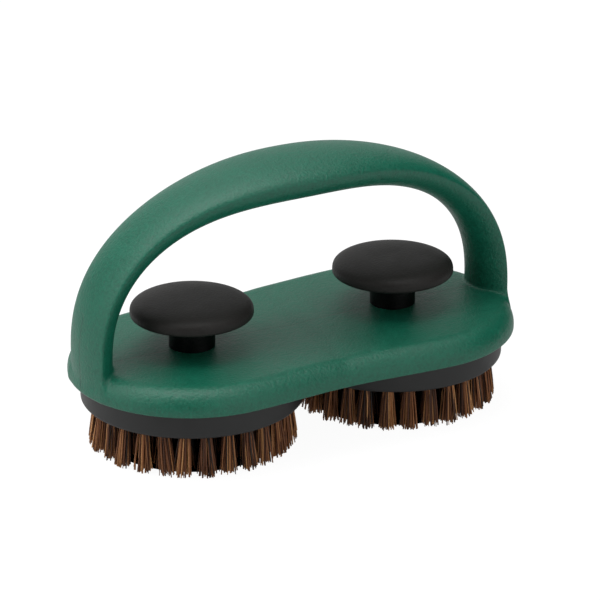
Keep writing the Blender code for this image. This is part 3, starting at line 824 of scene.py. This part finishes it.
knob_plastic = make_black("knob_plastic", BLACK_KNOB, roughness=0.5, grain_height=0.15 * MM,
                          specular=0.19, smoother_with_painted_shade_below=KNOB_UNDERSIDE_Z - TOUCH_GAP)
block_plastic = make_black("block_plastic", BLACK_BLOCK, roughness=0.48,
                           grain_height=0.006 * MM, specular=0.54)
zinc_steel = make_metal("zinc_steel", (0.62, 0.63, 0.65), roughness=0.28)
brass = make_metal("brass", (0.72, 0.55, 0.28), roughness=0.3)
print("made", [made.name for made in (knob_plastic, block_plastic, zinc_steel, brass)])

# %% [markdown]
# A knob is a mushroom: a crown as a quarter of a superellipse, a lip that curls under, a flat
# underside and a stem with a small fillet. It is round, so a turned profile gives it.

# %% Knobs
KNOB_RIM_Z = DECK_TOP + 14.4 * MM
KNOB_LIP_WIDTH = 7.0 * MM
KNOB_EXPONENT = 3.2
KNOB_LIP_EXPONENT = 2.3
KNOB_STEM_RADIUS = 9.3 * MM
KNOB_FILLET = 2.5 * MM
CROWN_STEPS, LIP_STEPS, FILLET_STEPS = 44, 20, 9
STUD_RADIUS = 4.0 * MM


def knob_profile():
    """Half section from the top of the crown, down the stem and up its bore."""
    crown = knob_high.z - KNOB_RIM_Z
    under = KNOB_RIM_Z - KNOB_UNDERSIDE_Z
    points = curve_round((0.0, KNOB_RIM_Z), (KNOB_RADIUS, crown), 90, 0, CROWN_STEPS,
                         KNOB_EXPONENT)
    points += curve_round((KNOB_RADIUS - KNOB_LIP_WIDTH, KNOB_RIM_Z), (KNOB_LIP_WIDTH, under),
                          0, -90, LIP_STEPS, KNOB_LIP_EXPONENT)[1:]
    points += curve_round((KNOB_STEM_RADIUS + KNOB_FILLET, KNOB_UNDERSIDE_Z - KNOB_FILLET),
                          (KNOB_FILLET, KNOB_FILLET), 90, 180, FILLET_STEPS)
    bore = STUD_RADIUS + TOUCH_GAP
    return points + [(KNOB_STEM_RADIUS, knob_low.z), (bore, knob_low.z),
                     (bore, KNOB_UNDERSIDE_Z), (0.0, KNOB_UNDERSIDE_Z)]


for side, sign in SIDES.items():
    mesh = turned(f"knob_{side}", knob_profile(), sign * AXIS_X)
    add_piece(f"knob_{side}_visual", mesh, f"{side}_knob", knob_plastic,
              [f"knob_{side}"])

# %% [markdown]
# The stud and the insert carry a real thread of 1.25 mm pitch. On a grid of turns and heights
# the radius is lowered by a wave that advances one pitch in each turn.

# %% Studs and inserts
THREAD_PITCH = 1.25 * MM
THREAD_DEPTH = 0.6 * MM
THREAD_COLUMNS = 32
ROWS_PER_PITCH = 8
STUD_HEAD_RADIUS = 6.2 * MM
STUD_HEAD_HEIGHT = 3.5 * MM
INSERT_RADIUS = insert_high.y
INSERT_GROOVE = 0.7 * MM
INSERT_GROOVE_HEIGHT = 1.8 * MM


def threaded(name, centre_x, radius, low, high, depth, ends):
    """A grid of turns and heights whose radius loses depth times a triangle wave of the
    height less the turn's share of a pitch, held to the profile given by its ends."""
    rows = int((high - low) / THREAD_PITCH * ROWS_PER_PITCH)
    turn = np.arange(THREAD_COLUMNS) / THREAD_COLUMNS
    height = np.linspace(high, low, rows)[:, None]
    phase = (height / THREAD_PITCH - turn) % 1.0
    wall = radius - depth * np.abs(2 * phase - 1)
    first, last = [np.array(end)[:, :, None] + 0 * turn for end in ends]
    radii = np.vstack([first[:, 0], wall, last[:, 0]])
    heights = np.vstack([first[:, 1], height + 0 * turn, last[:, 1]])
    return round_mesh(name, centre_x, radii, heights, 2 * math.pi * turn)


shoulder = stud_high.z - STUD_HEAD_HEIGHT
stud_head = [(0.0, stud_high.z), (STUD_HEAD_RADIUS, stud_high.z), (STUD_HEAD_RADIUS, shoulder)]
top, foot = insert_high.z, insert_low.z
groove_low = (top + foot) / 2 - INSERT_GROOVE_HEIGHT / 2
groove_high = (top + foot) / 2 + INSERT_GROOVE_HEIGHT / 2
groove_radius = INSERT_RADIUS - INSERT_GROOVE
insert_wall = [(INSERT_RADIUS, foot), (INSERT_RADIUS, groove_low), (groove_radius, groove_low),
               (groove_radius, groove_high), (INSERT_RADIUS, groove_high), (INSERT_RADIUS, top)]
bore_radius = STUD_RADIUS + TOUCH_GAP + THREAD_DEPTH

for side, sign in SIDES.items():
    mesh = threaded(f"stud_{side}", sign * AXIS_X, STUD_RADIUS, stud_low.z, shoulder, THREAD_DEPTH,
                    (stud_head, [(0.0, stud_low.z)]))
    add_piece(f"stud_{side}_visual", mesh, f"{side}_knob", zinc_steel,
              [f"knob_stud_{side}"])
    mesh = threaded(f"insert_{side}", sign * AXIS_X, bore_radius, foot, top, THREAD_DEPTH,
                    (insert_wall, insert_wall[:1]))
    add_piece(f"insert_{side}_visual", mesh, f"{side}_head", brass,
              [f"threaded_insert_{side}"])

# %% [markdown]
# A block is a round puck with softened edges, a pocket for the insert, a recess below for the
# tuft slices and two drive pegs on top.

# %% Brush blocks
BLOCK_EDGE = 1.6 * MM
BLOCK_SKIRT = 0.7 * MM
BLOCK_RIM_WIDTH = 3.0 * MM
BLOCK_EDGE_STEPS = 8
PEG_EDGE = 0.6 * MM
PEG_TOP = CEILING_Z - TOUCH_GAP
PEG_COLUMNS = 32
RING_NAMES = ["centre", "fourth", "third", "second", "outer"]
SLICES_RADIUS = BLOCK_RADIUS - BLOCK_RIM_WIDTH
RING_PITCH = SLICES_RADIUS / len(RING_NAMES)
SLICE_THICKNESS = 2.0 * MM
SLICE_TOP = BRISTLE_LENGTH + SLICE_THICKNESS


def block_profile():
    """Half section: pocket, rounded rim that ends in a low skirt round the slices, and the
    recess that the slices fill."""
    pocket = INSERT_RADIUS + TOUCH_GAP
    pocket_floor = insert_low.z - TOUCH_GAP
    recess = SLICES_RADIUS + TOUCH_GAP / 2
    edge = BLOCK_RADIUS - BLOCK_EDGE
    points = [(0.0, pocket_floor), (pocket, pocket_floor), (pocket, BLOCK_TOP)]
    points += curve_round((edge, BLOCK_TOP - BLOCK_EDGE), (BLOCK_EDGE, BLOCK_EDGE), 90, 0,
                          BLOCK_EDGE_STEPS)
    bottom = BRISTLE_LENGTH - BLOCK_SKIRT
    points += curve_round((edge, bottom + BLOCK_EDGE), (BLOCK_EDGE, BLOCK_EDGE), 0, -90,
                          BLOCK_EDGE_STEPS)
    recess_top = SLICE_TOP + TOUCH_GAP
    return points + [(recess, bottom), (recess, recess_top), (0.0, recess_top)]


def peg_profile():
    """Half section of a drive peg, from its chamfered end down into the block."""
    foot = BLOCK_TOP - BLOCK_EDGE
    return [(0.0, PEG_TOP), (PEG_RADIUS - PEG_EDGE, PEG_TOP), (PEG_RADIUS, PEG_TOP - PEG_EDGE),
            (PEG_RADIUS, foot), (0.0, foot)]


def joined(name, meshes):
    """One mesh of several."""
    cells = bmesh.new()
    for mesh in meshes:
        cells.from_mesh(mesh)
    whole = bpy.data.meshes.new(name)
    cells.to_mesh(whole)
    cells.free()
    return whole


for side, sign in SIDES.items():
    parts = [turned("block", block_profile(), sign * AXIS_X)]
    for place in (-1, 1):
        peg = turned("peg", peg_profile(), sign * AXIS_X, PEG_COLUMNS)
        peg.transform(Matrix.Translation((0.0, place * PEG_CIRCLE_RADIUS, 0.0)))
        parts.append(peg)
    add_piece(f"block_{side}_visual", joined(f"block_{side}", parts), f"{side}_head", block_plastic,
              [f"brush_block_{side}"])

# %% [markdown]
# Each tuft is a bundle of stiff plant fibres in one hole of the block. The bundle is round and
# tight at the root and spreads towards its cut end. Fibres differ in shade, thickness, bend and
# length. One array holds all fibres of a ring, so a ring is one mesh.

# %% Palm fibre
MOTTLE_PER_METRE = 900.0
MOTTLE_IN_SHADE = 0.25
FIBRE_STOPS = [(0.0, (0.004, 0.004, 0.004)), (0.1, (0.03, 0.0125, 0.0065)),
               (0.4, (0.13, 0.043, 0.0145)), (0.7, (0.33, 0.125, 0.042)),
               (1.0, (0.68, 0.34, 0.13))]


def make_fibre():
    """Brown plant fibre: each fibre has its own shade, its root is darker by a painted shade
    that is deepest in the inner rings, for the shadow inside the brush, and slices are black."""
    finish = Finish("palm_fibre", roughness=0.62)
    shade = finish.number(finish.node("ShaderNodeAttribute", {"attribute_name": "shade"}), "Fac")
    gloom = finish.number(finish.node("ShaderNodeAttribute", {"attribute_name": "gloom"}), "Fac")
    place = finish.place()
    mottle = finish.noise(place, MOTTLE_PER_METRE, detail=3.0, roughness=0.6)
    # The painted shade darkens the roots, where the brush lies in shadow.
    tone = shade + (mottle - 0.5) * MOTTLE_IN_SHADE - gloom
    finish.colour(finish.ramp(tone, FIBRE_STOPS))
    return finish.material


palm_fibre = make_fibre()
print("made the finish", palm_fibre.name)

# %% Tufts
TUFT_PITCH = 8.5 * MM
TUFT_START = 0.45
TUFT_TURN_ERROR = 0.012
TUFT_LEAN = 0.16
TUFT_ROOT_RADIUS = 1.85 * MM
TUFT_TIP_RADIUS = 3.3 * MM
TIP_SPREAD = 1.03
TIP_LIMIT = SLICES_RADIUS
FIBRES_IN_TUFT = {"centre": 24, "fourth": 28, "third": 34, "second": 50, "outer": 54}
# Painted shade at each fibre's root, deepest in the inner rings, for the shadow inside the brush
RING_PAINTED_SHADE = {"centre": 0.8, "fourth": 0.8, "third": 0.8, "second": 0.65, "outer": 0.12}
FIBRE_HALF_WIDTH = 0.34 * MM
FIBRE_SIDES = 4
FIBRE_WIDTHS = (0.7, 1.25)
FIBRE_FLATNESS = 0.7
FIBRE_SCATTER = 0.16
STRAY_CHANCE, STRAY_FACTOR = 0.05, 2.6
ROOT_DEPTH = 0.8 * MM
ANY_TURN = 6.3
FIBRE_BEND = 0.3 * MM
FIBRE_STATIONS = np.array([0.0, 0.35, 0.7, 1.0])
FIBRE_TAPER = np.array([0.9, 1.0, 1.0, 0.95])
UNEVEN_TIPS = 1.6 * MM
UNEVEN_TIP_EXPONENT = 2.4
UNEVEN_TUFTS = 0.4 * MM
LIGHT_CHANCE, LIGHT_LIFT = 0.25, 0.35
MEAN_SHADE, SHADE_SPREAD, LEAST_SHADE = 0.5, 0.21, 0.12
SLICE_COLUMNS = 48
SEEDS_FOR_RING = 10


def fibre_ends(ring_name, random):
    """Root, tip, half width and shade of every fibre of a ring, about the head's axis.

    Fibres are spread over a tuft's disc as seeds in a sunflower, by the golden angle and
    the square root of their count. The tip lies in the same place of a larger disc that
    stands further out, with some chance added.
    """
    ring = RING_NAMES.index(ring_name)
    ring_radius = RING_PITCH * (ring + 0.5)
    tufts = round(2 * math.pi * ring_radius / TUFT_PITCH)
    fibres = FIBRES_IN_TUFT[ring_name]
    turn = 2 * math.pi * (np.arange(tufts) + TUFT_START) / tufts
    turn = (turn + random.normal(0, TUFT_TURN_ERROR, tufts))[:, None]
    seed = np.arange(fibres)
    reach = np.sqrt((seed + 0.5) / fibres)
    angle = seed * math.pi * (3 - math.sqrt(5)) + random.uniform(0, ANY_TURN, (tufts, 1))
    out, across = reach * np.cos(angle), reach * np.sin(angle)
    shift = random.normal(0, FIBRE_SCATTER, (2, tufts, fibres))
    stray = random.random((tufts, fibres)) < STRAY_CHANCE
    shift = shift * np.where(stray, STRAY_FACTOR, 1.0)
    lean = random.normal(0, TUFT_LEAN, (2, tufts, 1))

    def polar(radius, offset_out, offset_across, height):
        distance = radius + offset_out
        spot = turn + offset_across / radius
        return np.stack([distance * np.cos(spot), distance * np.sin(spot), height], axis=-1)

    root_z = np.full((tufts, fibres), BRISTLE_LENGTH + ROOT_DEPTH)
    root = polar(ring_radius, TUFT_ROOT_RADIUS * out, TUFT_ROOT_RADIUS * across, root_z)
    ragged = random.random((tufts, fibres)) ** UNEVEN_TIP_EXPONENT * UNEVEN_TIPS
    uneven = ragged + random.random((tufts, 1)) * UNEVEN_TUFTS
    tip_out = TUFT_TIP_RADIUS * (out + shift[0] + lean[0])
    tip_across = TUFT_TIP_RADIUS * (across + shift[1] + lean[1])
    tip_radius = np.minimum(ring_radius * TIP_SPREAD + tip_out, TIP_LIMIT) - ring_radius
    tip = polar(ring_radius, tip_radius, tip_across, uneven)
    width = FIBRE_HALF_WIDTH * random.uniform(*FIBRE_WIDTHS, (tufts, fibres))
    light = LIGHT_LIFT * (random.random((tufts, fibres)) < LIGHT_CHANCE)
    shade = random.normal(MEAN_SHADE, SHADE_SPREAD, (tufts, fibres)) + light
    shade = np.clip(shade, LEAST_SHADE, 1.0)
    return [part.reshape(-1, *part.shape[2:]) for part in (root, tip, width, shade)]


def slice_of(ring_name, centre_x):
    """The ring-shaped slice of the block's face that holds a ring of tufts."""
    ring = RING_NAMES.index(ring_name)
    inner, outer = RING_PITCH * ring + TOUCH_GAP / 2, RING_PITCH * (ring + 1) - TOUCH_GAP / 2
    profile = [(inner, SLICE_TOP), (outer, SLICE_TOP), (outer, BRISTLE_LENGTH),
               (inner, BRISTLE_LENGTH), (inner, SLICE_TOP)]
    if ring == 0:
        profile = [(0.0, SLICE_TOP), *profile[1:3], (0.0, BRISTLE_LENGTH)]
    return turned("slice", profile, centre_x, SLICE_COLUMNS)


def give_points(mesh, name, value):
    """Write one number, or one for each point, as an attribute that the finish reads."""
    layer = mesh.attributes.new(name, "FLOAT", "POINT")
    values = np.broadcast_to(value, len(mesh.vertices)).astype(np.float32)
    layer.data.foreach_set("value", values)


def fibre_mesh(ring_name, centre_x, seed):
    """All fibres of a ring and its slice of the block's face.

    A fibre is four-sided: along its line, bent by half a sine wave, stand stations of
    four corners each, right, front, left and back of the line. Chance turns them about it.
    """
    random = np.random.default_rng(seed)
    root, tip, width, shade = fibre_ends(ring_name, random)
    line = tip - root
    heading = random.normal(0, 1, line.shape)
    side = np.cross(line, heading)
    side /= np.linalg.norm(side, axis=1, keepdims=True)
    depth = np.cross(line, side)
    depth /= np.linalg.norm(depth, axis=1, keepdims=True)
    bend = FIBRE_BEND * random.normal(0, 1, len(line))
    share = FIBRE_STATIONS[None, :, None]
    middle = root[:, None] + line[:, None] * share
    middle = middle + side[:, None] * (bend[:, None, None] * np.sin(math.pi * share))
    half = (width[:, None] * FIBRE_TAPER)[:, :, None]
    to_right = side[:, None] * half
    to_front = depth[:, None] * half * FIBRE_FLATNESS
    corners = np.stack([middle + to_right, middle + to_front, middle - to_right,
                        middle - to_front], axis=2)
    corners[..., 2] = np.maximum(corners[..., 2], 0.0)
    count, stations = len(line), len(FIBRE_STATIONS)
    fibre_points = FIBRE_SIDES * stations
    walls = grid_quads(stations, FIBRE_SIDES, closed_columns=True)
    cap = np.arange(fibre_points - FIBRE_SIDES, fibre_points)
    one = np.vstack([walls, cap])
    quads = (one + fibre_points * np.arange(count)[:, None, None]).reshape(-1, 4)
    points = corners.reshape(-1, 3) + np.array([centre_x, 0.0, 0.0])
    shades = np.repeat(shade, fibre_points)
    # Painted shade: full at the root and none at the tip
    painted_shades = RING_PAINTED_SHADE[ring_name] * np.tile(np.repeat(1 - FIBRE_STATIONS, FIBRE_SIDES), count)
    block_slice = slice_of(ring_name, centre_x)
    fibres = mesh_of("fibres", points, quads)
    give_points(fibres, "shade", shades)
    give_points(fibres, "gloom", painted_shades)
    give_points(block_slice, "shade", 0.0)
    give_points(block_slice, "gloom", 0.0)
    return joined(f"tufts_{ring_name}", [fibres, block_slice])


for side, sign in SIDES.items():
    for ring_name in RING_NAMES:
        seed = SEEDS_FOR_RING * RING_NAMES.index(ring_name) + (sign > 0)
        mesh = fibre_mesh(ring_name, sign * AXIS_X, seed)
        add_piece(f"fibres_{ring_name}_{side}", mesh, f"{side}_head", palm_fibre,
                  [f"tufts_{ring_name}_{side}"])

# %% [markdown]
# The photograph shows the brush on pure white with hardly any shadow. So the floor is two
# sheets: a white one that only the camera sees, and below it a pale one that takes the real
# shadows and throws light back up. Both are open under the heads, over black discs that are a
# painted shadow under the brush, so that the gaps between tufts are as dark as in the
# photograph. A white wall stands round the scene.

# %% Floor
FLOOR_HALF_SIZE = 3.0
FLOOR_GLOW = 0.95
FLOOR_DROP = 0.2 * MM
HEAD_OPENING = 35.0 * MM
DISC_OVERLAP = 1.03
WHITE = (1.0, 1.0, 1.0, 1.0)
BLACK = (0.0, 0.0, 0.0, 1.0)
SEEN_FLOOR_SHADE = (0.12, 0.12, 0.12, 1.0)
LIT_FLOOR_SHADE = (0.5, 0.5, 0.5, 1.0)
LIT_FLOOR_GLOW = 0.215
FLOOR_TURNS = 73
BACKDROP_HEIGHT = 3.0
BACKDROP_COLUMNS = 96


def add_stage(name, mesh, finish):
    """Link a mesh as a part of the studio, not of the object."""
    piece = bpy.data.objects.new(name, mesh)
    bpy.context.scene.collection.objects.link(piece)
    mesh.materials.append(finish.material)
    return piece


def floor_mesh(name, height, opening):
    """A flat square sheet in two halves, each a grid that shrinks from the half's edge to a
    round opening under a head. Its columns run along even turns and to the four corners."""
    size = FLOOR_HALF_SIZE
    sheets = []
    for sign in SIDES.values():
        low, high = sorted((0.0, sign * size))
        ends = np.array([low, high]) - sign * AXIS_X
        corners = np.arctan2([size, size, -size, -size], [*ends, *ends]) % (2 * math.pi)
        turn = np.sort(np.append(np.linspace(0, 2 * math.pi, FLOOR_TURNS), corners))
        ray = np.stack([np.cos(turn), np.sin(turn)], axis=-1)
        reach_x = np.where(ray[:, 0] > 0, high - sign * AXIS_X, sign * AXIS_X - low)
        steep = np.maximum(np.abs(ray), NEARLY_ZERO)
        reach = np.minimum(reach_x / steep[:, 0], size / steep[:, 1])
        rims = np.stack([ray * reach[:, None], ray * opening])
        points = np.dstack([rims + (sign * AXIS_X, 0.0), np.full(rims.shape[:2], height)])
        sheets.append(mesh_of(name, points.reshape(-1, 3), grid_quads(2, len(turn))))
    return joined(name, sheets)


def backdrop_mesh(radius, low, high):
    """A round wall about the origin, from one height to another."""
    turn = np.linspace(0, 2 * math.pi, BACKDROP_COLUMNS, endpoint=False)
    round_wall = np.stack([radius * np.cos(turn), radius * np.sin(turn), 0 * turn], axis=-1)
    points = np.vstack([round_wall + (0.0, 0.0, low), round_wall + (0.0, 0.0, high)])
    return mesh_of("backdrop", points, grid_quads(2, len(turn), closed_columns=True))


seen_white = Finish("seen_white", roughness=0.9, Base_Color=SEEN_FLOOR_SHADE,
                    Specular_IOR_Level=0.0, Emission_Color=WHITE, Emission_Strength=FLOOR_GLOW)
pale_floor = Finish("pale_floor", roughness=0.9, Base_Color=LIT_FLOOR_SHADE,
                    Emission_Color=WHITE, Emission_Strength=LIT_FLOOR_GLOW)
dark = Finish("dark", roughness=1.0, Base_Color=BLACK, Specular_IOR_Level=0.0)
seen_mesh = floor_mesh("seen_floor", -FLOOR_DROP, HEAD_OPENING)
seen_floor = add_stage("seen_floor", seen_mesh, seen_white)
wall_mesh = backdrop_mesh(FLOOR_HALF_SIZE, -FLOOR_DROP, BACKDROP_HEIGHT)
backdrop = add_stage("backdrop", wall_mesh, seen_white)
lit_mesh = floor_mesh("lit_floor", -2 * FLOOR_DROP, HEAD_OPENING)
add_stage("lit_floor", lit_mesh, pale_floor)
# Black discs under the heads: a painted shadow under the brush, seen through the floors' openings
shadow_disc_profile = [(0.0, -3 * FLOOR_DROP), (DISC_OVERLAP * HEAD_OPENING, -3 * FLOOR_DROP)]
shadow_discs = [turned("disc", shadow_disc_profile, sign * AXIS_X) for sign in SIDES.values()]
add_stage("dark_discs", joined("dark_discs", shadow_discs), dark)
for sheet in (seen_floor, backdrop):
    for ray in ("diffuse", "glossy", "transmission", "volume_scatter", "shadow"):
        setattr(sheet, "visible_" + ray, False)
print("the floor is", 2 * FLOOR_HALF_SIZE, "m wide and the wall", BACKDROP_HEIGHT, "m high")

# %% [markdown]
# Soft panels stand round the brush, far or near, each given by its compass angle from the
# front, its height angle and its power in watts. The powers were fitted first: the brush was
# rendered with each panel alone, and the mix nearest to the photograph's colours was kept. A
# few powers and angles were then changed.

# %% Lights
FAR, NEAR = 1.6, 0.4
PANEL_SIZES = {FAR: 0.9, NEAR: 0.3}
# Each panel: its name, distance, compass angle, height angle and watts
PANELS = [("top", FAR, 0, 88, 7.6), ("left_high", FAR, -120, 66, 6.4),
          ("front_right_high", FAR, 30, 53, 3.7), ("front_right_low", FAR, 30, 12, 2.6),
          ("back_high", FAR, 180, 66, 2.6), ("front_low", FAR, 0, 12, 2.5),
          ("back_low", FAR, 180, 12, 2.1), ("right_high", FAR, 120, 66, 2.1),
          ("back_right", FAR, 150, 40, 1.0), ("back_right_low", FAR, 150, 8, 1.6),
          ("left", FAR, -90, 40, 0.85), ("front", FAR, 0, 40, 0.8), ("back", FAR, 180, 40, 0.7),
          ("back_left_low", FAR, -150, 12, 0.5), ("left_near", NEAR, -90, 40, 0.27),
          ("left_near_low", NEAR, -90, 15, 0.18), ("back_left_near", NEAR, -120, 40, 0.06),
          ("back_left_near_low", NEAR, -120, 15, 0.04)]
SURROUNDINGS = 0.006


def make_panel(name, distance, azimuth, elevation, power):
    """A square light on a sphere round the brush that faces its middle and isn't seen itself."""
    data = bpy.data.lights.new(name, "AREA")
    data.size = PANEL_SIZES[distance]
    data.energy = power
    panel = bpy.data.objects.new(name, data)
    bpy.context.scene.collection.objects.link(panel)
    panel.visible_camera = False
    turn, rise = math.radians(azimuth), math.radians(elevation)
    panel.location = distance * Vector((math.sin(turn) * math.cos(rise),
                                        -math.cos(turn) * math.cos(rise), math.sin(rise)))
    panel.rotation_euler = panel.location.to_track_quat("Z", "Y").to_euler()


def make_surroundings(strength):
    """A plain white room that lights evenly from all sides."""
    world = bpy.data.worlds.new("studio")
    world.use_nodes = True
    background = world.node_tree.nodes["Background"]
    background.inputs["Color"].default_value = WHITE
    background.inputs["Strength"].default_value = strength
    bpy.context.scene.world = world


for panel in PANELS:
    make_panel(*panel)
make_surroundings(SURROUNDINGS)
print("set up", len(PANELS), "panels")
bpy.context.scene.view_settings.view_transform = "Standard"
